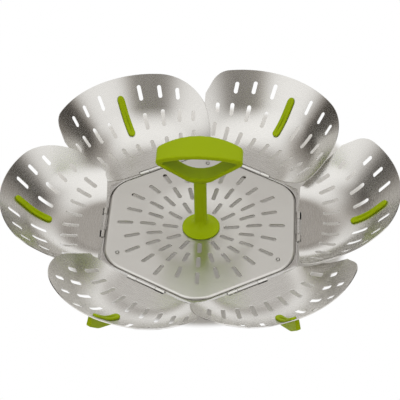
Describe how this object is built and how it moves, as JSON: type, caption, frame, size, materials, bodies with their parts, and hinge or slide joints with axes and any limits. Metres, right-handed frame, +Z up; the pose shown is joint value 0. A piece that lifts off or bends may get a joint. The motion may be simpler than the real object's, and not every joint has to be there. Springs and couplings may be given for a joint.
{
  "type": "folding steamer basket",
  "caption": "Folding steamer basket: lapping slotted petals hinged round a slotted hexagonal plate on short legs, with a central post and loop handle.",
  "frame": {"origin": "on the surface that the basket stands on, under the middle of the plate", "axes": "+Z up along the post; +X square to one side of the hexagon, along the loop of the handle"},
  "size_m": [0.2896, 0.2768, 0.1015],
  "materials": {
    "plate_steel": "satin",
    "petal_steel": "brushed",
    "fastener_steel": "satin",
    "green": "satin"
  },
  "bodies": {
    "base": {"base_plate": "plate_steel", "base_frame": "plate_steel", "handle": "green", "handle_screw": "fastener_steel", "handle_washer": "fastener_steel", "base_foot_1": "green", "base_foot_2": "green", "base_foot_3": "green", "foot_rivet_1": "fastener_steel", "foot_rivet_2": "fastener_steel", "foot_rivet_3": "fastener_steel", "hinge_pin_1": "fastener_steel", "hinge_pin_2": "fastener_steel", "hinge_pin_3": "fastener_steel", "hinge_pin_4": "fastener_steel", "hinge_pin_5": "fastener_steel", "hinge_pin_6": "fastener_steel"},
    "petal_body_1": {"petal_1": "petal_steel", "petal_foot_1": "green"},
    "petal_body_2": {"petal_2": "petal_steel", "petal_foot_2": "green"},
    "petal_body_3": {"petal_3": "petal_steel", "petal_foot_3": "green"},
    "petal_body_4": {"petal_4": "petal_steel", "petal_foot_4": "green"},
    "petal_body_5": {"petal_5": "petal_steel", "petal_foot_5": "green"},
    "petal_body_6": {"petal_6": "petal_steel", "petal_foot_6": "green"}
  },
  "joints": [
    {"name": "petal_hinge_1", "type": "hinge", "parent": "base", "child": "petal_body_1", "pos_m": [0.072, 0, 0.024], "axis": [0, -1, 0], "range_deg": [0, 73]},
    {"name": "petal_hinge_2", "type": "hinge", "parent": "base", "child": "petal_body_2", "pos_m": [0.036, 0.06235, 0.024], "axis": [0.866, -0.5, 0], "range_deg": [0, 73]},
    {"name": "petal_hinge_3", "type": "hinge", "parent": "base", "child": "petal_body_3", "pos_m": [-0.036, 0.06235, 0.024], "axis": [0.866, 0.5, 0], "range_deg": [0, 73]},
    {"name": "petal_hinge_4", "type": "hinge", "parent": "base", "child": "petal_body_4", "pos_m": [-0.072, 0, 0.024], "axis": [0, 1, 0], "range_deg": [0, 73]},
    {"name": "petal_hinge_5", "type": "hinge", "parent": "base", "child": "petal_body_5", "pos_m": [-0.036, -0.06235, 0.024], "axis": [-0.866, 0.5, 0], "range_deg": [0, 73]},
    {"name": "petal_hinge_6", "type": "hinge", "parent": "base", "child": "petal_body_6", "pos_m": [0.036, -0.06235, 0.024], "axis": [-0.866, -0.5, 0], "range_deg": [0, 73]}
  ],
  "couplings": [
    {"joint": "petal_hinge_2", "follows": "petal_hinge_1", "ratio": 1},
    {"joint": "petal_hinge_3", "follows": "petal_hinge_1", "ratio": 1},
    {"joint": "petal_hinge_4", "follows": "petal_hinge_1", "ratio": 1},
    {"joint": "petal_hinge_5", "follows": "petal_hinge_1", "ratio": 1},
    {"joint": "petal_hinge_6", "follows": "petal_hinge_1", "ratio": 1}
  ]
}
